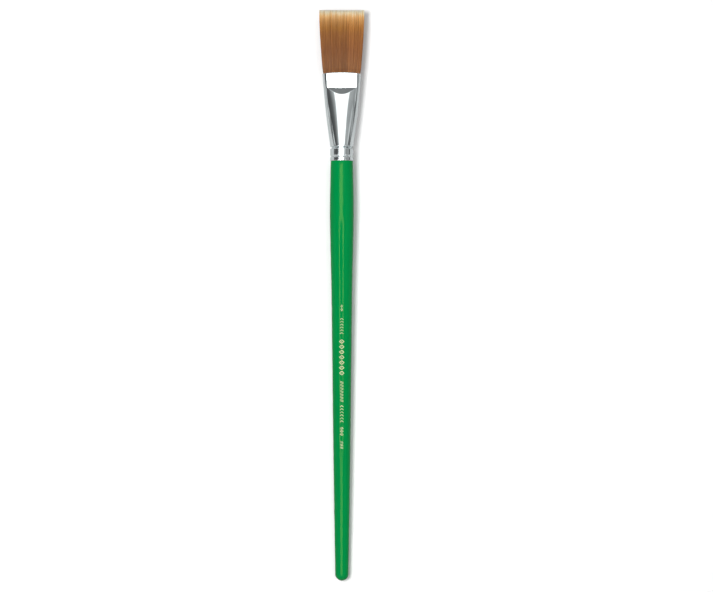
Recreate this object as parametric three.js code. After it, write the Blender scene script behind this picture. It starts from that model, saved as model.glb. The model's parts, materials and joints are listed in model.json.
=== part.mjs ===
// Long-handled flat artist's brush, lying on a table with its tuft towards +Y and a flat face up (+Z).
// Millimetres. The brush is drawn along its own axis, where s is the distance from the joint between the
// painted handle and the ferrule: positive towards the tuft, negative towards the tail.
import * as THREE from "three";

// Driving dimensions. A one-inch flat: the mean width of the tuft is 25.4 mm.
const HANDLE_LENGTH = 260.6; // the painted part
const FERRULE_LENGTH = 54.6;
const TUFT_LENGTH = 38.8; // hair length out
const WALL = 0.35; // ferrule tube
const GAP = 0.3; // between pieces that touch on the real brush

// Ferrule: a round tube over the tenon, pressed to a flat mouth.
const ROUND_RADIUS = 7;
const TAPER_START = 9.6;
const MOUTH_HALF_WIDTH = 12;
const SIDE_BULGE = 0.3; // how far its narrow sides swell beyond a straight taper
const MOUTH_HALF_THICKNESS = 3.5;
const MOUTH_DIP = 0.6; // how far the rim falls back at its two narrow ends
const BAND_LENGTH = 9.5; // the parallel flat behind the mouth
const RAMP_LENGTH = 3; // the step from that flat up to the domed panel
const DOME_HEIGHT = 1.2;
const CREASE = FERRULE_LENGTH - BAND_LENGTH;
const RAMP_END = CREASE - RAMP_LENGTH;

// The two rolled grooves that grip the tenon.
const CRIMPS = [
  { at: 2.85, depth: 0.45 },
  { at: 8.2, depth: 0.95 },
];
const CRIMP_HALF_WIDTH = 1.1;

// Handle: where the turned outline bends, as [distance behind the ferrule, radius]. It rests on its belly
// and on its heel, near the tail.
const TAIL_RADIUS = 4.1;
const BELLY = [31, 7.43];
const HEEL = [225, 4.67];
const HANDLE_OUTLINE = [
  [0, 6.92],
  [14, 7.22],
  BELLY,
  [76, 6.58],
  [121, 6.03],
  [181, 5.29],
  HEEL,
  [HANDLE_LENGTH - TAIL_RADIUS, TAIL_RADIUS],
];
const SHOULDER_ROUNDING = 0.25;
const TENON_RADIUS = ROUND_RADIUS - WALL - GAP;
const TENON_LENGTH = 16;
const TENON_NOSE_RADIUS = 5.4;
const TENON_CHAMFER = 0.6;

// Hair. The tuft turns about a pivot at 15% of its free length, where a stiff link moves most like a
// bending one.
const HAIR_BUTT = CREASE + 0.6;
const TUFT_TIP = FERRULE_LENGTH + TUFT_LENGTH;
const PIVOT = FERRULE_LENGTH + 0.15 * TUFT_LENGTH;
const PIVOT_RADIUS = 2.9;
const TUFT_FLARE = 2.6;
const BELLY_HALF_THICKNESS = 3.4;
const BELLY_AT = 0.3; // of the free length
const CHISEL_HALF_THICKNESS = 0.8;

// Glue inside the ferrule.
const EPOXY_DEPTH = 6.5;
const TENON_GLUE_DEPTH = 2.2;

// Every piece has this many columns of faces, with one facing straight down, and the flat panels begin on
// the edge between two columns.
const COLUMNS = 24;
const COLUMN_ANGLE = (2 * Math.PI) / COLUMNS;
const PANEL_ANGLE = 4.5 * COLUMN_ANGLE;

const { clamp, lerp, smoothstep } = THREE.MathUtils;
const QUARTER = Math.PI / 2;

function evenly(from, to, steps) {
  return Array.from({ length: steps + 1 }, (_, i) => lerp(from, to, i / steps));
}

// How far the grooves push the ferrule's wall in at s.
function grooveDepth(s) {
  return CRIMPS.reduce((sum, { at, depth }) => {
    const t = clamp(Math.abs(s - at) / CRIMP_HALF_WIDTH, 0, 1);
    return sum + (depth / 2) * (1 + Math.cos(Math.PI * t));
  }, 0);
}

// The point of a flattened section in the direction of angle, which runs from the wide direction. The
// section is two round edges joined by domed panels, and where pressed is 0 it is a circle.
function sectionPoint(angle, { halfWidth, edgeRadius, pressed = 1, domeHeight = () => 0 }) {
  const fromWide = Math.asin(Math.abs(Math.sin(angle)));
  const edge = lerp(fromWide, Math.min(QUARTER, (fromWide * QUARTER) / PANEL_ANGLE), pressed);
  const across = clamp((QUARTER - fromWide) / (QUARTER - PANEL_ANGLE), 0, 1);
  const x = (halfWidth - edgeRadius) * across + edgeRadius * Math.cos(edge);
  const z = edgeRadius * Math.sin(edge) + domeHeight(across);
  return [Math.sign(Math.cos(angle)) * x, Math.sign(Math.sin(angle)) * z];
}

// The ferrule's section at s, measured inset in from its outer face.
function ferruleSection(s, inset) {
  const taper = clamp((s - TAPER_START) / (FERRULE_LENGTH - TAPER_START), 0, 1);
  const pressed = clamp((s - TAPER_START) / (CREASE - TAPER_START), 0, 1);
  const bulge = SIDE_BULGE * Math.sin(Math.PI * taper);
  const inward = inset + grooveDepth(s);
  return {
    halfWidth: lerp(ROUND_RADIUS, MOUTH_HALF_WIDTH, taper) + bulge - inward,
    edgeRadius: lerp(ROUND_RADIUS, MOUTH_HALF_THICKNESS, pressed) - inward,
    pressed,
    // The dome ends at the crease in a ramp that is longest in the middle of the panel.
    domeHeight: (across) => {
      const crown = 1 - across * across;
      const ramp = smoothstep(CREASE - s, 0, RAMP_LENGTH * crown + 1e-3);
      return DOME_HEIGHT * crown * ramp * pressed;
    },
  };
}

// The hair's section at s: inside the ferrule it fills the bore, and outside it flares and thins.
function hairSection(s) {
  if (s <= FERRULE_LENGTH) return ferruleSection(s, WALL + GAP);
  const t = Math.min(1, (s - FERRULE_LENGTH) / TUFT_LENGTH);
  const mouth = ferruleSection(FERRULE_LENGTH, WALL + GAP);
  const swelling = lerp(mouth.edgeRadius, BELLY_HALF_THICKNESS, smoothstep(t, 0, BELLY_AT));
  const thinning = lerp(BELLY_HALF_THICKNESS, CHISEL_HALF_THICKNESS, smoothstep(t, BELLY_AT, 1.1));
  return {
    halfWidth: mouth.halfWidth + TUFT_FLARE * (1 - (1 - t) ** 1.6),
    edgeRadius: Math.min(swelling, thinning),
  };
}

// The free hair's section. Up to the pivot it is a rounded foot, so that it turns clear of the root.
function tuftSection(s) {
  const section = hairSection(s);
  if (s > PIVOT + GAP) return section;
  const below = Math.max(0, PIVOT - s);
  section.edgeRadius = Math.min(section.edgeRadius, Math.sqrt(PIVOT_RADIUS ** 2 - below ** 2));
  return section;
}

function turned(outline) {
  const points = outline.map(([x, y]) => new THREE.Vector2(x, y));
  return new THREE.LatheGeometry(points, COLUMNS, COLUMN_ANGLE / 2);
}

// Moves each point of a turned shape onto the section that sectionAt gives for its s and its radius.
function pressedTo(sectionAt, geometry) {
  const position = geometry.attributes.position;
  for (let i = 0; i < position.count; i++) {
    const [x, s, z] = [position.getX(i), position.getY(i), position.getZ(i)];
    const radius = Math.hypot(x, z);
    if (radius < 1e-6) continue;
    const [newX, newZ] = sectionPoint(Math.atan2(z, x), sectionAt(s, radius));
    position.setXYZ(i, newX, s, newZ);
  }
  return geometry;
}

// A solid that has the given section at each station, closed by flat ends.
function pressedSolid(stations, sectionAt) {
  const side = stations.map((s) => [1, s]);
  return pressedTo(sectionAt, turned([[0, stations[0]], ...side, [0, stations.at(-1)]]));
}

function piece(name, geometry, material) {
  const mesh = new THREE.Mesh(geometry, new THREE.MeshStandardMaterial(material));
  mesh.name = name;
  return mesh;
}

// Turned birch handle: tail, body, shoulder, and a tenon marked by the crimps.
function handle() {
  const tailCentre = TAIL_RADIUS - HANDLE_LENGTH;
  const tail = evenly(0, QUARTER, 6).map((a) => [
    TAIL_RADIUS * Math.sin(a),
    tailCentre - TAIL_RADIUS * Math.cos(a),
  ]);
  const body = HANDLE_OUTLINE.slice(1, -1).map(([behind, radius]) => [radius, -behind]).reverse();
  const shoulderRadius = HANDLE_OUTLINE[0][1];
  const shoulder = [
    [shoulderRadius, -SHOULDER_ROUNDING],
    [shoulderRadius - SHOULDER_ROUNDING, 0],
    [TENON_RADIUS, 0],
  ];
  const tenon = [...grooveStations(), TAPER_START].map((s) => [TENON_RADIUS - grooveDepth(s), s]);
  const nose = [
    [TENON_NOSE_RADIUS, TENON_LENGTH - TENON_CHAMFER],
    [TENON_NOSE_RADIUS - TENON_CHAMFER, TENON_LENGTH],
    [0, TENON_LENGTH],
  ];
  const geometry = turned([...tail, ...body, ...shoulder, ...tenon, ...nose]);
  return piece("handle", geometry, { color: 0x00913f, roughness: 0.2, metalness: 0 });
}

function grooveStations() {
  return CRIMPS.flatMap(({ at }) => evenly(at - CRIMP_HALF_WIDTH, at + CRIMP_HALF_WIDTH, 4));
}

// Where the ferrule's wall bends, from its round end to its mouth.
function ferruleStations() {
  const taper = evenly(TAPER_START, RAMP_END, 6);
  const ramp = evenly(RAMP_END, CREASE, 3).slice(1);
  return [GAP, ...grooveStations(), ...taper, ...ramp, FERRULE_LENGTH];
}

// Bright aluminium tube, open at both ends: out along its outer face and back along its bore.
function ferrule() {
  const [boreSide, outerSide] = [1, 2];
  const stations = ferruleStations();
  const outline = [
    ...stations.map((s) => [outerSide, s]),
    ...stations.toReversed().map((s) => [boreSide, s]),
    [outerSide, stations[0]],
  ];
  const sectionAt = (s, side) => ferruleSection(s, side > 1.5 ? 0 : WALL);
  const geometry = pressedTo(sectionAt, turned(outline));
  dipMouth(geometry);
  return piece("ferrule", geometry, { color: 0xd9dadb, roughness: 0.15, metalness: 1 });
}

// Curves the ferrule's rim, so that it stands highest in the middle of the flat faces.
function dipMouth(geometry) {
  const position = geometry.attributes.position;
  for (let i = 0; i < position.count; i++) {
    if (position.getY(i) < FERRULE_LENGTH - 1e-3) continue;
    const across = position.getX(i) / MOUTH_HALF_WIDTH;
    position.setY(i, FERRULE_LENGTH - MOUTH_DIP * across * across);
  }
}

// Epoxy that the butt of the hair is set in. It fills the bore.
function epoxyPlug() {
  const [from, to] = [HAIR_BUTT - GAP - EPOXY_DEPTH, HAIR_BUTT - GAP];
  const bends = ferruleStations().filter((s) => s > from && s < to);
  const geometry = pressedSolid([from, ...bends, to], (s) => ferruleSection(s, WALL + GAP));
  return piece("epoxy_plug", geometry, { color: 0xc9a25a, roughness: 0.25, metalness: 0 });
}

// Glue that the tenon pushed ahead of it.
function tenonGlue() {
  const from = TENON_LENGTH + GAP;
  const stations = [from, from + TENON_GLUE_DEPTH];
  const geometry = pressedSolid(stations, (s) => ferruleSection(s, WALL + GAP));
  return piece("tenon_glue", geometry, { color: 0xe9dfc2, roughness: 0.5, metalness: 0 });
}

// The held length of the filaments, up to just below the tuft's foot.
function hairRoot() {
  const stations = [HAIR_BUTT, FERRULE_LENGTH, PIVOT - PIVOT_RADIUS - GAP];
  const geometry = pressedSolid(stations, hairSection);
  return piece("hair_root", geometry, { color: 0x8a5a2e, roughness: 0.4, metalness: 0 });
}

// The free length of the filaments, with its rounded foot.
function hairTuft() {
  const foot = evenly(QUARTER / 4, QUARTER, 3).map((a) => PIVOT - PIVOT_RADIUS * Math.cos(a));
  const free = evenly(PIVOT, TUFT_TIP, 8).slice(1);
  const geometry = pressedSolid([...foot, ...free], tuftSection);
  return piece("hair_tuft", geometry, { color: 0xa8702f, roughness: 0.4, metalness: 0 });
}

// The tilt at which the handle's belly and heel rest on one table.
function restTilt() {
  const drop = (BELLY[1] - HEEL[1]) * Math.cos(COLUMN_ANGLE / 2);
  return Math.atan2(drop, HEEL[0] - BELLY[0]);
}

// The brush on its table, with the origin on the table under the middle of the brush's box.
function restingBrush() {
  const brush = new THREE.Group();
  brush.add(handle(), ferrule(), tenonGlue(), epoxyPlug(), hairRoot(), hairTuft());
  brush.rotation.x = restTilt();
  brush.updateMatrixWorld(true);
  const box = new THREE.Box3().setFromObject(brush, true);
  brush.position.set(0, -(box.min.y + box.max.y) / 2, -box.min.z);
  return brush;
}

export default restingBrush();
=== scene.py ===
import json

import bpy
import numpy as np
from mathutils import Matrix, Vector


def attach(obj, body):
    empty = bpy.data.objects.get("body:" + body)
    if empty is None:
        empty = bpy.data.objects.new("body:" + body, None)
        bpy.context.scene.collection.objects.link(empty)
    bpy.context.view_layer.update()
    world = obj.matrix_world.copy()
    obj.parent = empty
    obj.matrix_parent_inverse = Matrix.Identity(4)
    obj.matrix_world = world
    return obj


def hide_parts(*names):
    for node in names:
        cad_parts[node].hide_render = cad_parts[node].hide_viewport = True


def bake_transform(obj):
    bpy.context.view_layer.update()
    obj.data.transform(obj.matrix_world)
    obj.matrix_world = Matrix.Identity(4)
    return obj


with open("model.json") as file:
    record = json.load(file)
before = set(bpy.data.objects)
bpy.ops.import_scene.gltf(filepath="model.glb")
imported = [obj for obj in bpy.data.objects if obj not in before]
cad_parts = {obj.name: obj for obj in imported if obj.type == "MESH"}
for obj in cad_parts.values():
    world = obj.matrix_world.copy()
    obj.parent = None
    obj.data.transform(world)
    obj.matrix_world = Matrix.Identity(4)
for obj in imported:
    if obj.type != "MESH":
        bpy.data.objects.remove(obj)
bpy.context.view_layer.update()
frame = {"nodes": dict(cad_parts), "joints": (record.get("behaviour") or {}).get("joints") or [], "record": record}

rng = np.random.default_rng(7)

# The brush's axes in the frame: the ferrule's upper face points up, and the tuft's pivot lies on the axis.
MM = 0.001
UP = np.array(frame["record"]["mounts"][0]["axis"])
ALONG = np.array([0, UP[2], -UP[1]])
ACROSS = np.array([1, 0, 0])
PIVOT = np.array(frame["joints"][0]["pos_m"])

HANDLE_LENGTH = 260.6
FERRULE_LENGTH = 54.6
TUFT_LENGTH = 38.8
PIVOT_S = FERRULE_LENGTH + 0.15 * TUFT_LENGTH
TUFT_TIP = FERRULE_LENGTH + TUFT_LENGTH
ROUND_RADIUS = 7.2
WALL = 0.35
GAP = 0.3

# Handle, as distances behind the ferrule and radii.
TAIL_RADIUS = 4.1
HANDLE_BENDS = [0, 14, 31, 52, 76, 121, 181, 225, HANDLE_LENGTH - TAIL_RADIUS]
HANDLE_RADII = [6.92, 7.22, 7.43, 7.12, 6.58, 6.03, 5.31, 4.68, TAIL_RADIUS]
SHOULDER_ROUNDING = 0.25
PAINT_END = 0.4
TENON_LENGTH = 16
TENON_RADIUS = ROUND_RADIUS - WALL - GAP
TENON_NOSE_RADIUS = 5.4
# Corners of the tenon's nose, as distances short of its end and below its radius.
TENON_NOSE = [(0.6, 0), (0.15, 0.35), (0, 0.8)]

# Foil ornament: groups of equal marks, as distances behind the ferrule, shape and height across the handle.
FOIL_GROUPS = [
    (88.7, 93.0, 2, "lozenge", 1.3),
    (96.8, 107.3, 6, "chevron", 2.0),
    (110.0, 132.7, 7, "lozenge", 2.8),
    (135.8, 148.9, 7, "hatch", 2.0),
    (150.7, 161.9, 6, "chevron", 2.0),
    (164.4, 170.0, 3, "lozenge", 1.9),
    (173.0, 178.0, 3, "hatch", 1.8),
]
# Strokes of one mark, along the handle and across it, in shares of its step and its height.
FOIL_SHAPES = {
    "lozenge": [[(-0.36, 0), (0, 0.5), (0.36, 0), (0, -0.5), (-0.36, 0)], [(-0.08, 0), (0.08, 0)]],
    "chevron": [[(0.25, -0.5), (-0.25, 0), (0.25, 0.5)]],
    "hatch": [[(-0.3, -0.5), (0.1, 0.5)], [(0.1, -0.5), (0.5, 0.5)]],
}
FOIL_STROKE = 0.14
FOIL_RISE = 0.02

# Ferrule.
TAPER_START = 9.6
MOUTH_HALF_WIDTH = 12
SIDE_BULGE = 0.45
MOUTH_HALF_THICKNESS = 3.5
BAND_LENGTH = 9.5
CREASE = FERRULE_LENGTH - BAND_LENGTH
CREASE_ROUNDING = 0.25
# How far the rim falls back at its narrow ends, and how far past the crease the fall begins.
MOUTH_DIP = 0.75
DIP_START = 6
# The ramp from the crease up to the domed panel: its slope, its reach and how softly it meets the panel.
RAMP_SLOPE = 0.46
RAMP_REACH = 6
RAMP_SOFTNESS = 0.12
DOME_HEIGHT = 1.7
# Powers by which the round tube becomes flat: of the radius of its narrow sides and of the dome.
SIDE_PRESS = 2.5
DOME_PRESS = 0.7
# The two rolled grooves, as s, depth and half width.
CRIMPS = [(2.85, 0.45, 0.8), (8.2, 1.1, 0.9)]
FERRULE_FOOT = 0.05
# The stretch around the crease, where the tube's sections stand closest.
FINE_START = CREASE - 5
FINE_END = CREASE + 0.6
# A rounded rim: its length, and its corners as distances out along the tube and in from its face. The last
# corners, at the mouth and at the foot, are distances back from the end and short of the bore.
RIM_LENGTH = 0.3
RIM = [(0.12, 0.02), (0.2, 0.07), (0.26, 0.13), (0.29, 0.2)]
MOUTH_CORNER = (0.05, 0.03)
FOOT_CORNER = (0.05, 0.02)

# Tuft.
HAIR_BUTT = CREASE + 0.6
ROOT_HALF_WIDTH = 11.8
TIP_HALF_WIDTH = 13.95
HAIR_INSET = WALL + 0.15  # from the face of the tube to the hair inside it
# Where the sides stop spreading, as a share of the free length, and the power of their curve.
FLARE_END = 0.92
FLARE_POWER = 1.4
# The stretch around the mouth over which the width changes from the bore's to the free tuft's.
MOUTH_BLEND = 1.2
BELLY_HALF_THICKNESS = 3.4
TIP_HALF_THICKNESS = 0.95
# The dense core: how deep it lies below the free filaments and below the hair in the bore, how far it stops
# short of the tips, its least half thickness, and its tone, darker than a plain filament's, as painted shade.
CORE_DEPTH = 0.25
CORE_PLAY = 0.05
CORE_SHORT = 0.45
CORE_LEAST = 0.3
CORE_PAINTED_SHADE_TONE = 0.3
# Bundles on each face of the tuft, what each bundle holds, and the shape of a filament. Its root lies this
# deep inside the mouth, and its tip is thinner by this share.
BUNDLES_PER_FACE = 3
FILAMENTS = 900
CLUMPS = 70
FILAMENT_RADIUS = 0.075
FILAMENT_STATIONS = 12
FILAMENT_SIDES = 3
ROOT_DEPTH = 1.5
TIP_TAPER = 0.4
# The longest filaments stop this far short of the tuft's full length, and the shortest this much sooner.
TIP_SHORT = 0.15
TIP_UNEVENNESS = 0.7
# The shade that leaves a filament's colour as it is.
PLAIN_TONE = 0.42
# Colours of the filaments along their free length, as shares of it.
HAIR_COLORS = [
    (0.1, (143, 98, 65)),
    (0.37, (144, 95, 59)),
    (0.62, (154, 103, 59)),
    (0.72, (166, 114, 60)),
    (0.81, (188, 138, 83)),
    (0.88, (219, 170, 107)),
    (0.94, (240, 217, 168)),
    (0.975, (255, 249, 232)),
]


def place(points):
    """Points given as rows of x, s, z in millimetres, in the frame in metres."""
    x, s, z = np.asarray(points, float).reshape(-1, 3).T
    offset = np.outer(x, ACROSS) + np.outer(s - PIVOT_S, ALONG) + np.outer(z, UP)
    return PIVOT + offset * MM


def ease(t):
    t = np.clip(t, 0, 1)
    return t * t * (3 - 2 * t)


def through(at, xs, ys):
    """A smooth curve through the points xs, ys, read at the given places."""
    x, y = np.array(xs, float), np.array(ys, float)
    slope = np.gradient(y, x)
    i = np.clip(np.searchsorted(x, at, side="right") - 1, 0, len(x) - 2)
    h = x[i + 1] - x[i]
    t = (at - x[i]) / h
    start = (1 + 2 * t) * (1 - t) ** 2 * y[i] + t * (1 - t) ** 2 * h * slope[i]
    return start + t * t * (3 - 2 * t) * y[i + 1] + t * t * (t - 1) * h * slope[i + 1]


# Meshes


def mesh_object(name, points, faces, material_of_face=None):
    mesh = bpy.data.meshes.new(name)
    mesh.from_pydata(place(points).tolist(), [], faces)
    mesh.polygons.foreach_set("use_smooth", [True] * len(mesh.polygons))
    if material_of_face is not None:
        mesh.polygons.foreach_set("material_index", material_of_face)
    mesh.validate()
    obj = bpy.data.objects.new(name, mesh)
    bpy.context.collection.objects.link(obj)
    return obj


def skin(rings, closed=False):
    """Points and faces of a surface over equal rings, which closes on itself or ends in two points."""
    count, columns = len(rings), len(rings[0])
    points = np.concatenate(rings)
    faces = []
    for r in range(count if closed else count - 1):
        a, b = r * columns, (r + 1) % count * columns
        for c in range(columns):
            d = (c + 1) % columns
            faces.append((a + c, a + d, b + d, b + c))
    if closed:
        return points, faces
    first, last = len(points), len(points) + 1
    points = np.vstack([points, rings[0].mean(0), rings[-1].mean(0)])
    end = (count - 1) * columns
    for c in range(columns):
        d = (c + 1) % columns
        faces.append((first, d, c))
        faces.append((last, end + c, end + d))
    return points, faces


def ring_angles(columns):
    return (np.arange(columns) + 0.5) * 2 * np.pi / columns


def round_ring(radius, s, columns):
    angle = ring_angles(columns)
    return np.stack([radius * np.cos(angle), np.full(columns, s), -radius * np.sin(angle)], 1)


# Handle


def groove_depth(s):
    depth = 0
    for at, deep, half_width in CRIMPS:
        t = np.clip(np.abs(s - at) / half_width, 0, 1)
        depth = depth + deep / 2 * (1 + np.cos(np.pi * t))
    return depth


def handle_radius(behind):
    return through(behind, HANDLE_BENDS, HANDLE_RADII)


def handle_profile():
    """(s, radius) pairs from the tail to the nose of the tenon."""
    tail_angle = np.linspace(0.02, np.pi / 2, 18)
    tail_s = -HANDLE_LENGTH + TAIL_RADIUS * (1 - np.cos(tail_angle))
    tail = np.stack([tail_s, TAIL_RADIUS * np.sin(tail_angle)], 1)
    behind = np.linspace(HANDLE_LENGTH - TAIL_RADIUS, SHOULDER_ROUNDING, 130)[1:]
    body = np.stack([-behind, handle_radius(behind)], 1)
    corner = np.linspace(0, np.pi / 2, 6)[1:]
    shoulder_s = SHOULDER_ROUNDING * (np.sin(corner) - 1)
    shoulder = np.stack([shoulder_s, HANDLE_RADII[0] - SHOULDER_ROUNDING * (1 - np.cos(corner))], 1)
    tenon_s = np.linspace(0, TAPER_START, 80)
    tenon = np.stack([tenon_s, TENON_RADIUS - groove_depth(tenon_s)], 1)
    nose = [(TENON_LENGTH - short, TENON_NOSE_RADIUS - below) for short, below in TENON_NOSE]
    return np.vstack([tail, body, shoulder, tenon, nose])


def handle_piece():
    columns = 96
    profile = handle_profile()
    rings = [round_ring(radius, s, columns) for s, radius in profile]
    points, faces = skin(rings)
    bare = [1 if points[list(face)][:, 1].mean() > PAINT_END else 0 for face in faces]
    obj = mesh_object("handle_turned", points, faces, bare)
    obj.data.materials.append(lacquer_material())
    obj.data.materials.append(birch_material())
    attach(obj, "handle")
    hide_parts("handle")


def on_handle(behind, around, rise):
    radius = handle_radius(behind)
    angle = around / radius
    return (radius + rise) * np.sin(angle), -behind, (radius + rise) * np.cos(angle)


def foil_stroke(path, width):
    """A thin closed strip on the lacquer, along a path of (behind, around) corners in millimetres."""
    corners = np.array(path, float)
    legs = [np.linspace(a, b, 6, endpoint=False) for a, b in zip(corners[:-1], corners[1:])]
    line = np.vstack([*legs, corners[-1:]])
    heading = np.gradient(line, axis=0)
    heading /= np.linalg.norm(heading, axis=1)[:, None]
    aside = np.stack([-heading[:, 1], heading[:, 0]], 1) * width / 2
    rings = []
    for left, right in zip(line + aside, line - aside):
        edges = [(left, FOIL_RISE), (right, FOIL_RISE), (right, -FOIL_RISE), (left, -FOIL_RISE)]
        rings.append(np.array([on_handle(behind, around, rise) for (behind, around), rise in edges]))
    return skin(rings)


def foil_piece():
    points, faces, count = [], [], 0
    for first, last, marks, shape, height in FOIL_GROUPS:
        step = (last - first) / marks
        for at in first + step * (np.arange(marks) + 0.5):
            for stroke in FOIL_SHAPES[shape]:
                path = np.array(stroke) * (step, height) + (at, 0)
                new_points, new_faces = foil_stroke(path, FOIL_STROKE * height)
                points.append(new_points)
                faces += [tuple(i + count for i in face) for face in new_faces]
                count += len(new_points)
    obj = mesh_object("foil_ornament", np.concatenate(points), faces)
    obj.data.materials.append(foil_material())
    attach(obj, "handle")


# Ferrule


def oval_ring(half_width, half_thickness, end_radius, columns):
    """x and z of a closed section of four tangent arcs, evenly spaced along its outline."""
    rise = max(half_thickness - end_radius, 1e-3)
    run = half_width - end_radius
    top_radius = max((run**2 + half_thickness**2 - end_radius**2) / (2 * rise), 1e-3)
    turn = np.arcsin(min(1, run / (top_radius - end_radius))) if run > 1e-6 else 0
    end_length = end_radius * (np.pi / 2 - turn)
    top_length = top_radius * turn
    quarter = (np.arange(columns // 4) + 0.5) / (columns // 4) * (end_length + top_length)
    end_angle = quarter / end_radius
    top_angle = turn - (quarter - end_length) / top_radius
    on_end = quarter < end_length
    x = np.where(on_end, run + end_radius * np.cos(end_angle), top_radius * np.sin(top_angle))
    top_z = half_thickness - top_radius + top_radius * np.cos(top_angle)
    z = np.where(on_end, end_radius * np.sin(end_angle), top_z)
    x = np.concatenate([x, -x[::-1], -x, x[::-1]])
    z = np.concatenate([z, z[::-1], -z, -z[::-1]])
    return x, -z


def soft_min(a, b, softness):
    h = np.clip(0.5 + (b - a) / (2 * softness), 0, 1)
    return b * (1 - h) + a * h - softness * h * (1 - h)


def taper_share(s):
    """How far s is along the tapering stretch of the ferrule, from 0 to 1."""
    return np.clip((s - TAPER_START) / (FERRULE_LENGTH - TAPER_START), 0, 1)


def ferrule_ring(s, inset, columns):
    """One section of the tube at s, this far in from its face."""
    taper = taper_share(s)
    pressed = np.clip((s - TAPER_START) / (CREASE - TAPER_START), 0, 1)
    inward = inset + groove_depth(s)
    half_width = ROUND_RADIUS + (MOUTH_HALF_WIDTH - ROUND_RADIUS) * taper - inward
    half_width += SIDE_BULGE * np.sin(np.pi * taper)
    narrowing = (ROUND_RADIUS - MOUTH_HALF_THICKNESS) * (1 - pressed) ** SIDE_PRESS
    end_radius = MOUTH_HALF_THICKNESS + narrowing - inward
    end_radius += CREASE_ROUNDING * pressed * min(1, (FERRULE_LENGTH - s) / BAND_LENGTH)
    dome_top = MOUTH_HALF_THICKNESS + DOME_HEIGHT
    half_thickness = ROUND_RADIUS + (dome_top - ROUND_RADIUS) * pressed**DOME_PRESS - inward
    x, z = oval_ring(half_width, half_thickness, end_radius, columns)
    ramp_height = MOUTH_HALF_THICKNESS - inward + RAMP_SLOPE * np.maximum(CREASE - s, 0)
    if s > CREASE - RAMP_REACH:
        z = np.sign(z) * soft_min(np.abs(z), ramp_height, RAMP_SOFTNESS)
    falling = np.clip((s - CREASE - DIP_START) / (BAND_LENGTH - DIP_START), 0, 1)
    dip = MOUTH_DIP * (x / MOUTH_HALF_WIDTH) ** 2 * falling
    return np.stack([x, s - dip, z], 1)


def ferrule_stations():
    """Places of the tube's sections between its two rims, closest at the crimps and the crease."""
    crimped = np.linspace(FERRULE_FOOT + RIM_LENGTH, TAPER_START, 110)
    tapered = np.linspace(TAPER_START, FINE_START, 44)[1:]
    creased = np.linspace(FINE_START, FINE_END, 70)[1:]
    band = np.linspace(FINE_END, FERRULE_LENGTH - RIM_LENGTH, 20)[1:]
    return np.concatenate([crimped, tapered, creased, band])


def ferrule_piece():
    """The tube's wall: out along its face, over a rim, back along its bore and over the other rim."""
    columns = 240
    stations = ferrule_stations()
    face = [(s, 0) for s in stations]
    mouth = [(FERRULE_LENGTH - RIM_LENGTH + out, inset) for out, inset in RIM]
    mouth.append((FERRULE_LENGTH - MOUTH_CORNER[0], WALL - MOUTH_CORNER[1]))
    bore = [(s, WALL) for s in stations[::-2]]
    foot = [(FERRULE_FOOT + FOOT_CORNER[0], WALL - FOOT_CORNER[1])]
    foot += [(FERRULE_FOOT + RIM_LENGTH - out, inset) for out, inset in RIM[::-1]]
    rings = [ferrule_ring(s, inset, columns) for s, inset in face + mouth + bore + foot]
    points, faces = skin(rings, closed=True)
    obj = mesh_object("ferrule_pressed", points, faces)
    obj.data.materials.append(aluminium_material())
    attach(obj, "handle")
    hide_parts("ferrule")


# Hair


def tuft_share(s):
    return np.clip((s - FERRULE_LENGTH) / TUFT_LENGTH, 0, 1)


def tuft_half_width(s):
    bore = ROUND_RADIUS + (MOUTH_HALF_WIDTH - ROUND_RADIUS) * taper_share(s) - HAIR_INSET
    spread = 1 - np.clip(1 - tuft_share(s) / FLARE_END, 0, 1) ** FLARE_POWER
    flare = ROOT_HALF_WIDTH + (TIP_HALF_WIDTH - ROOT_HALF_WIDTH) * spread
    return bore + (flare - bore) * ease((s - FERRULE_LENGTH + MOUTH_BLEND / 2) / MOUTH_BLEND)


def tuft_half_thickness(s):
    bore = MOUTH_HALF_THICKNESS - HAIR_INSET
    halves = [bore, bore + 0.3, BELLY_HALF_THICKNESS, 2.3, 1.4, TIP_HALF_THICKNESS]
    return through(tuft_share(s), [0, 0.1, 0.3, 0.6, 0.85, 1], halves)


def face_height(x, half_width, half_thickness):
    """How high the bundle's flat face stands at x, where it falls off towards its two sides."""
    excess = np.clip((np.abs(x) - half_width + half_thickness) / half_thickness, 0, 1)
    return half_thickness * (1 - excess**3) ** (1 / 3)


def strand_attribute(obj, tone, share, late):
    """The colour attribute that filament_material reads: shade, share of the free length, and late gold."""
    colors = np.stack([tone + 0 * share, share, late + 0 * share, 1 + 0 * share], -1)
    attribute = obj.data.color_attributes.new("strand", "FLOAT_COLOR", "POINT")
    attribute.data.foreach_set("color", colors.astype(np.float32).ravel())


def hair_core():
    """The dense middle of the bundle, from its glued butt almost to the tips."""
    angle = ring_angles(120)
    rings = []
    for s in np.concatenate([[HAIR_BUTT], np.linspace(FERRULE_LENGTH - 1, TUFT_TIP - CORE_SHORT, 44)]):
        inside = CORE_DEPTH if s > FERRULE_LENGTH else CORE_PLAY
        half_width = tuft_half_width(s) - inside
        half_thickness = max(tuft_half_thickness(s) - inside, CORE_LEAST)
        x = half_width * np.cos(angle)
        z = -np.sign(np.sin(angle)) * face_height(x, half_width, half_thickness)
        rings.append(np.stack([x, np.full(len(x), s), z], 1))
    points, faces = skin(rings)
    obj = mesh_object("hair_core", points, faces)
    share = tuft_share(points[:, 1])
    # Its tone is darker than a plain filament's: painted shade beneath the free filaments.
    strand_attribute(obj, CORE_PAINTED_SHADE_TONE, share, 0)
    return obj


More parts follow.
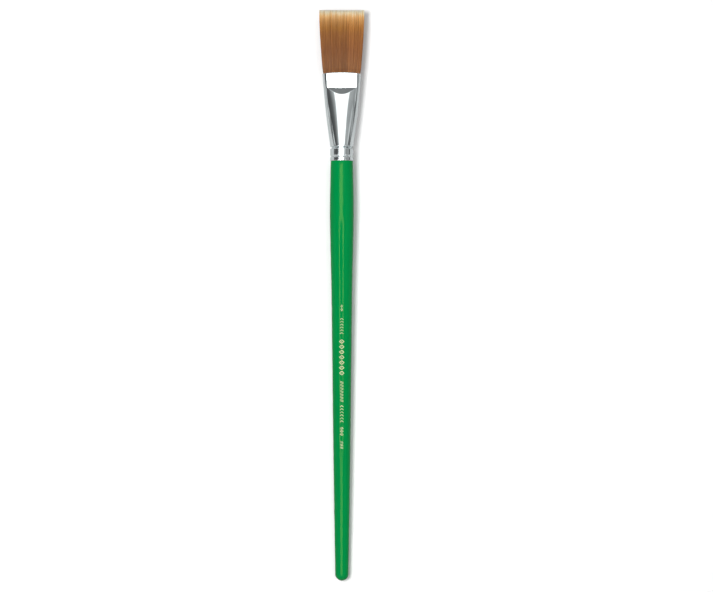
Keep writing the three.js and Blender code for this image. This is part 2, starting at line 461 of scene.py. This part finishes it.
def filament_tones(u, nearest):
    """Each filament's shade, and how late it turns gold. Both are partly shared by its clump."""
    # Painted light: the tone rises across the right half of the tuft, more at its right edge, and at its left
    # edge, so those sides look lit.
    right = 0.1 * ease((u - 0.1) / 0.4) + 0.13 * ease((u - 0.7) / 0.25)
    left = 0.14 * ease((-u - 0.75) / 0.2)
    tone = PLAIN_TONE + (right + left)
    tone = tone + rng.normal(0, 0.05, CLUMPS)[nearest] + rng.normal(0, 0.15, FILAMENTS)
    late = rng.normal(0, 0.015, CLUMPS)[nearest] + rng.normal(0, 0.025, FILAMENTS)
    return np.clip(tone, 0, 1), late


def filament_centres(u, v, clump, length):
    """Middle lines from roots at (u, v) to tips drawn towards their clumps, and radii by station."""
    # Of the four rows of phases, two are spare.
    phase = rng.uniform(0, 2 * np.pi, (4, FILAMENTS))
    sway = rng.normal(0, 0.05, (2, FILAMENTS))
    t = np.linspace(0, 1, FILAMENT_STATIONS) ** 0.9
    s = FERRULE_LENGTH - ROOT_DEPTH + np.outer(t, length + ROOT_DEPTH)
    lean = u + np.outer(ease((t - 0.55) / 0.45), 0.3 * (clump - u))
    half_width = tuft_half_width(s) - FILAMENT_RADIUS
    half_thickness = tuft_half_thickness(s) - FILAMENT_RADIUS
    free = ease(tuft_share(s) / 0.3)
    x = half_width * lean + free * sway[0] * np.sin(4 * t[:, None] + phase[0])
    z = face_height(x, half_width, half_thickness) * v
    z += free * sway[1] * np.sin(5 * t[:, None] + phase[1])
    radius = FILAMENT_RADIUS * (1 - TIP_TAPER * ease((t - 0.8) / 0.2))
    return np.stack([x, s, z], 2), radius


def filament_faces():
    """Faces of all filaments of a bundle, each a closed tube over its stations."""
    faces = []
    sides, length = FILAMENT_SIDES, FILAMENT_STATIONS * FILAMENT_SIDES
    for base in range(0, FILAMENTS * length, length):
        end = base + length - sides
        for a in range(base, end, sides):
            b = a + sides
            faces += [(a + c, a + (c + 1) % sides, b + (c + 1) % sides, b + c) for c in range(sides)]
        faces.append((base + 2, base + 1, base))
        faces.append((end, end + 1, end + 2))
    return faces


def filament_bundle(name, side):
    """Filaments whose roots are spread over one half of the bundle's section, denser near its surface."""
    u = rng.uniform(-1, 1, FILAMENTS)
    v = side * (1 - rng.uniform(0, 1, FILAMENTS) ** 1.4)
    clumps = rng.uniform(-1, 1, CLUMPS)
    nearest = np.abs(clumps[:, None] - u - rng.normal(0, 0.01, FILAMENTS)).argmin(0)
    length = TUFT_LENGTH - TIP_SHORT - TIP_UNEVENNESS * rng.uniform(0, 1, FILAMENTS) ** 3
    tone, late = filament_tones(u, nearest)
    centre, radius = filament_centres(u, v, clumps[nearest], length)
    angle = ring_angles(FILAMENT_SIDES)
    offset = np.stack([np.cos(angle), 0 * angle, -np.sin(angle)], 1)
    points = centre[:, :, None, :] + radius[:, None, None, None] * offset
    points = points.transpose(1, 0, 2, 3)
    obj = mesh_object(name, points.reshape(-1, 3), filament_faces())
    share = tuft_share(points[..., 1])
    strand_attribute(obj, tone[:, None, None], share, late[:, None, None])
    return obj


def tuft_pieces():
    material = filament_material()
    core = hair_core()
    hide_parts("hair_root")
    numbers = range(1, BUNDLES_PER_FACE + 1)
    bundles = [filament_bundle(f"hair_top_{n}", 1) for n in numbers]
    bundles += [filament_bundle(f"hair_under_{n}", -1) for n in numbers]
    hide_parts("hair_tuft")
    for obj in [core, *bundles]:
        obj.data.materials.append(material)
        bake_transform(obj)


# Materials


def add(tree, kind, inputs=None, **properties):
    node = tree.nodes.new(kind)
    for key, value in properties.items():
        setattr(node, key, value)
    for key, value in (inputs or {}).items():
        if isinstance(value, bpy.types.NodeSocket):
            tree.links.new(value, node.inputs[key])
        else:
            node.inputs[key].default_value = value
    return node


def linear(value):
    """The linear share of a 0-255 display value."""
    share = value / 255
    return share / 12.92 if share < 0.04045 else ((share + 0.055) / 1.055) ** 2.4


def srgb(r, g, b):
    """A linear colour with alpha from 0-255 display values."""
    return linear(r), linear(g), linear(b), 1


def grey(value):
    return value, value, value, 1


def new_material(name, **sockets):
    """A material with one Principled shader. Returns the material, its tree and the shader."""
    material = bpy.data.materials.new(name)
    material.use_nodes = True
    tree = material.node_tree
    shader = tree.nodes["Principled BSDF"]
    for key, value in sockets.items():
        shader.inputs[key.replace("_", " ")].default_value = value
    return material, tree, shader


def local_noise(tree, scale, stretch=(1, 1, 1), detail=4.0):
    """Noise in the piece's own space, with its cells stretched along each axis."""
    coordinates = add(tree, "ShaderNodeTexCoord").outputs["Object"]
    mapping = add(tree, "ShaderNodeMapping", {"Vector": coordinates, "Scale": [1 / k for k in stretch]})
    noise = add(tree, "ShaderNodeTexNoise", {"Vector": mapping.outputs[0], "Scale": scale, "Detail": detail})
    return noise.outputs["Fac"]


def ramp(tree, factor, *stops):
    node = add(tree, "ShaderNodeValToRGB", {"Fac": factor})
    elements = node.color_ramp.elements
    while len(elements) < len(stops):
        elements.new(0.5)
    for element, (position, color) in zip(elements, stops):
        element.position = position
        element.color = color
    return node.outputs["Color"]


def span(tree, value, low, high):
    """A value from 0-1 noise, spread over low to high."""
    ends = {"From Min": 0.3, "From Max": 0.7, "To Min": low, "To Max": high}
    return add(tree, "ShaderNodeMapRange", {"Value": value, **ends}).outputs[0]


def blended(tree, factor, a, b, how="MIX"):
    sockets = {"Factor": factor, "A": a, "B": b}
    return add(tree, "ShaderNodeMix", sockets, data_type="RGBA", blend_type=how).outputs["Result"]


def bump(tree, height, distance):
    return add(tree, "ShaderNodeBump", {"Height": height, "Distance": distance}).outputs[0]


def lacquer_material():
    material, tree, shader = new_material(
        "green_lacquer", Specular_IOR_Level=0.06, Specular_Tint=(0.7, 1, 0.15, 1)
    )
    tone = local_noise(tree, 60, (1, 12, 1))
    color = ramp(tree, tone, (0.3, srgb(0, 126, 61)), (0.7, srgb(0, 138, 69)))
    tree.links.new(color, shader.inputs["Base Color"])
    tree.links.new(span(tree, local_noise(tree, 180, (1, 3, 1)), 0.03, 0.06), shader.inputs["Roughness"])
    grain = local_noise(tree, 900, (1, 30, 1))
    tree.links.new(bump(tree, grain, 1.5e-6), shader.inputs["Normal"])
    return material


def foil_material():
    material, tree, shader = new_material("cream_foil", Roughness=0.3)
    speckle = local_noise(tree, 3000)
    color = ramp(tree, speckle, (0.35, srgb(206, 200, 150)), (0.6, srgb(232, 228, 190)))
    tree.links.new(color, shader.inputs["Base Color"])
    tree.links.new(bump(tree, speckle, 4e-6), shader.inputs["Normal"])
    return material


def birch_material():
    material, tree, shader = new_material("bare_birch", Roughness=0.6)
    grain = local_noise(tree, 500, (1, 25, 1), 6.0)
    light, mid, dark = srgb(232, 208, 168), srgb(221, 190, 144), srgb(188, 150, 104)
    color = ramp(tree, grain, (0.3, dark), (0.55, mid), (0.8, light))
    tree.links.new(color, shader.inputs["Base Color"])
    tree.links.new(bump(tree, grain, 3e-5), shader.inputs["Normal"])
    return material


def aluminium_material():
    material, tree, shader = new_material("bright_aluminium", Metallic=1.0)
    cloud = local_noise(tree, 90)
    color = ramp(tree, cloud, (0.35, srgb(206, 213, 214)), (0.65, srgb(218, 225, 226)))
    tree.links.new(color, shader.inputs["Base Color"])
    scratches = local_noise(tree, 2500, (1, 25, 1))
    tree.links.new(span(tree, scratches, 0.03, 0.08), shader.inputs["Roughness"])
    tree.links.new(bump(tree, scratches, 1e-6), shader.inputs["Normal"])
    return material


def filament_material():
    """Brown filaments that turn gold and then cream towards their tapered tips."""
    material, tree, shader = new_material("golden_filament", Roughness=0.42, Specular_IOR_Level=0.06)
    strand = add(tree, "ShaderNodeAttribute", attribute_name="strand").outputs["Color"]
    part = add(tree, "ShaderNodeSeparateColor", {"Color": strand}).outputs
    tone, along, late = part["Red"], part["Green"], part["Blue"]
    at = add(tree, "ShaderNodeMath", {0: along, 1: late}, operation="SUBTRACT").outputs[0]
    color = ramp(tree, at, *[(share, srgb(*shown)) for share, shown in HAIR_COLORS])
    # Tones above the plain one brighten a filament; this carries the painted light on the tuft's right half and
    # edges.
    shade = ramp(tree, tone, (0, grey(0.5)), (PLAIN_TONE, grey(1)), (1, (2.2, 2.1, 1.8, 1)))
    sockets = {"Value": at, "From Min": 0.75, "From Max": 0.95, "To Min": 1, "To Max": 0.25}
    strength = add(tree, "ShaderNodeMapRange", sockets).outputs[0]
    tree.links.new(blended(tree, strength, color, shade, "MULTIPLY"), shader.inputs["Base Color"])
    return material


def glue_material(name, thin, thick, roughness):
    material, tree, shader = new_material(name, Roughness=roughness)
    cloud = local_noise(tree, 400)
    tree.links.new(ramp(tree, cloud, (0.35, thin), (0.65, thick)), shader.inputs["Base Color"])
    tree.links.new(bump(tree, cloud, 1e-4), shader.inputs["Normal"])
    return material


def glue_pieces():
    epoxy = glue_material("epoxy", srgb(214, 176, 104), srgb(176, 132, 62), 0.2)
    glue = glue_material("wood_glue", srgb(238, 228, 200), srgb(222, 205, 165), 0.5)
    for node, material in (("epoxy_plug", epoxy), ("tenon_glue", glue)):
        obj = frame["nodes"][node]
        obj.data.materials.clear()
        obj.data.materials.append(material)


# Studio

CAMERA_HEIGHT = 0.99
CAMERA_SIDE = 0.0091
CAMERA_LENS = 80
# Rectangular lights: name, place, size, and radiance.
LIGHTS = [
    ("softbox", (0, 0, 1.6), (1.9, 2.6), 1.2),
    ("key", (-0.4, 0.05, 1.15), (0.38, 0.38), 25),
    ("fill", (1.2, 0, 0.3), (0.3, 1.5), 4),
]
FLOOR_Z = -0.0001
FLOOR_HALF = 6
# How white the floor is to the camera and to everything else, and where it begins to glow and glows most.
PAPER_SEEN = 0.9
PAPER_LIT = 0.58
GLOW_FROM = 0.5
GLOW_TO = 2.1
GLOW_MOST = 0.95
WALL_SEEN = 0.93  # the wall beyond the floor, to the camera
# What shines in the metal and the lacquer: (angle across the brush, grey) stops, where angles are in degrees
# from straight up, positive to the right and towards the tuft.
WALLS = [(-62, 0.5), (-52, 1.3), (-46, 1.3), (-45, 5), (-42, 5), (-41, 1.3), (-36, 1.3), (-28, 0.5)]
WALLS += [(28, 0.5), (36, 1.2), (41, 1.2), (42, 5), (45, 5), (46, 1.2), (52, 1.2), (60, 0.4)]
CARDS = [(-90, 0.5), (-73, 0.5), (-70, 0.8), (-64, 0.8), (-62, 0.07), (-44, 0.15), (-38, 0.28), (-28, 0.6)]
CARDS += [(-25, 1.8), (25, 1.8)]
CARDS += [(28, 0.55), (47, 0.45), (50, 0.75), (58, 0.7), (61, 0.14), (73, 0.16), (80, 0.5), (90, 0.6)]
ROUND_CARDS = [(-90, 0.5), (-84, 0.4), (-79, 0.1), (-45, 0.1), (-34, 0.3), (-26, 1.8), (22, 1.8)]
ROUND_CARDS += [(28, 0.9), (40, 0.45), (54, 0.3), (62, 0.5), (73, 0.6), (77, 0.08), (90, 0.08)]
# Bands of stops with their first and last angle along the brush, each over the one before.
BANDS = [
    (-17, 24, CARDS),
    (3.4, 4.6, ROUND_CARDS),
    (27, 65, [(-50, 0.8), (-24, 0.27), (24, 0.27), (50, 0.8)]),
]
# A bright strip in dark surroundings, which parts in two for a stretch: left, right, first and last angle,
# and grey.
PATCHES = [
    (-28, 28, -17, 3.2, 0.1),
    (-22, 12, -17, -8.5, 13),
    (-28, 19, -8.5, -0.2, 18),
    (-18, 8, -8.5, -0.2, 0.1),
    (-22, 10, -0.2, 6.3, 18),
]


def camera():
    data = bpy.data.cameras.new("camera")
    data.lens = CAMERA_LENS
    obj = bpy.data.objects.new("camera", data)
    obj.location = (CAMERA_SIDE, 0, CAMERA_HEIGHT)
    bpy.context.collection.objects.link(obj)
    bpy.context.scene.camera = obj


def area_light(name, place_at, size, radiance):
    """A rectangular light that faces the brush."""
    data = bpy.data.lights.new(name, "AREA")
    data.shape = "RECTANGLE"
    data.size, data.size_y = size
    data.energy = radiance * np.pi * size[0] * size[1]
    obj = bpy.data.objects.new(name, data)
    obj.location = place_at
    obj.rotation_euler = (-Vector(place_at)).to_track_quat("-Z", "Y").to_euler()
    obj.visible_camera = False
    obj.visible_glossy = False
    bpy.context.collection.objects.link(obj)


def floor():
    """A white sheet that lights the brush like a greyer one, and that stays pale far from the lights."""
    sides = ((-1, -1), (1, -1), (1, 1), (-1, 1))
    corners = [(x * FLOOR_HALF, y * FLOOR_HALF, FLOOR_Z) for x, y in sides]
    mesh = bpy.data.meshes.new("floor")
    mesh.from_pydata(corners, [], [(0, 1, 2, 3)])
    obj = bpy.data.objects.new("floor", mesh)
    material, tree, shader = new_material("floor_paper", Roughness=0.9)
    seen = add(tree, "ShaderNodeLightPath").outputs["Is Camera Ray"]
    paper = blended(tree, seen, grey(PAPER_LIT), grey(PAPER_SEEN))
    tree.links.new(paper, shader.inputs["Base Color"])
    centre = add(tree, "ShaderNodeTexCoord").outputs["Object"]
    away = add(tree, "ShaderNodeVectorMath", {0: centre}, operation="LENGTH").outputs["Value"]
    sockets = {"Value": away, "From Min": GLOW_FROM, "From Max": GLOW_TO, "To Max": GLOW_MOST}
    glow = add(tree, "ShaderNodeMapRange", sockets).outputs[0]
    tree.links.new(glow, shader.inputs["Emission Strength"])
    shader.inputs["Emission Color"].default_value = grey(1)
    mesh.materials.append(material)
    bpy.context.collection.objects.link(obj)


def grey_ramp(tree, angle, *stops):
    """A grey read from (degrees, value) stops, where the angle is in radians."""
    turn = add(tree, "ShaderNodeMapRange", {"Value": angle, "From Min": -np.pi / 2, "From Max": np.pi / 2})
    shades = [((degrees + 90) / 180, grey(value)) for degrees, value in stops]
    return ramp(tree, turn.outputs[0], *shades)


def window(tree, angle, first, last):
    """White between two angles in degrees, black beyond them."""
    return grey_ramp(tree, angle, (first - 0.5, 0), (first, 1), (last, 1), (last + 0.5, 0))


def studio_world():
    """What the metal and the lacquer mirror: walls, bands and patches. The camera sees a pale wall."""
    world = bpy.data.worlds.new("studio")
    world.use_nodes = True
    bpy.context.scene.world = world
    world.cycles_visibility.diffuse = False
    tree = world.node_tree
    direction = add(tree, "ShaderNodeTexCoord").outputs["Generated"]
    part = add(tree, "ShaderNodeSeparateXYZ", {"Vector": direction}).outputs
    across = add(tree, "ShaderNodeMath", {0: part["X"], 1: part["Z"]}, operation="ARCTAN2").outputs[0]
    along = add(tree, "ShaderNodeMath", {0: part["Y"]}, operation="ARCSINE").outputs[0]
    mirrored = grey_ramp(tree, across, *WALLS)
    for first, last, stops in BANDS:
        inside = window(tree, along, first, last)
        mirrored = blended(tree, inside, mirrored, grey_ramp(tree, across, *stops))
    for left, right, first, last, value in PATCHES:
        sides, ends = window(tree, across, left, right), window(tree, along, first, last)
        inside = blended(tree, 1.0, sides, ends, "MULTIPLY")
        mirrored = blended(tree, inside, mirrored, grey(value))
    seen = add(tree, "ShaderNodeLightPath").outputs["Is Camera Ray"]
    shown = blended(tree, seen, mirrored, grey(WALL_SEEN))
    tree.links.new(shown, tree.nodes["Background"].inputs["Color"])


def studio():
    camera()
    floor()
    studio_world()
    for light in LIGHTS:
        area_light(*light)
    bpy.context.scene.view_settings.view_transform = "Standard"


studio()
handle_piece()
foil_piece()
ferrule_piece()
tuft_pieces()
glue_pieces()
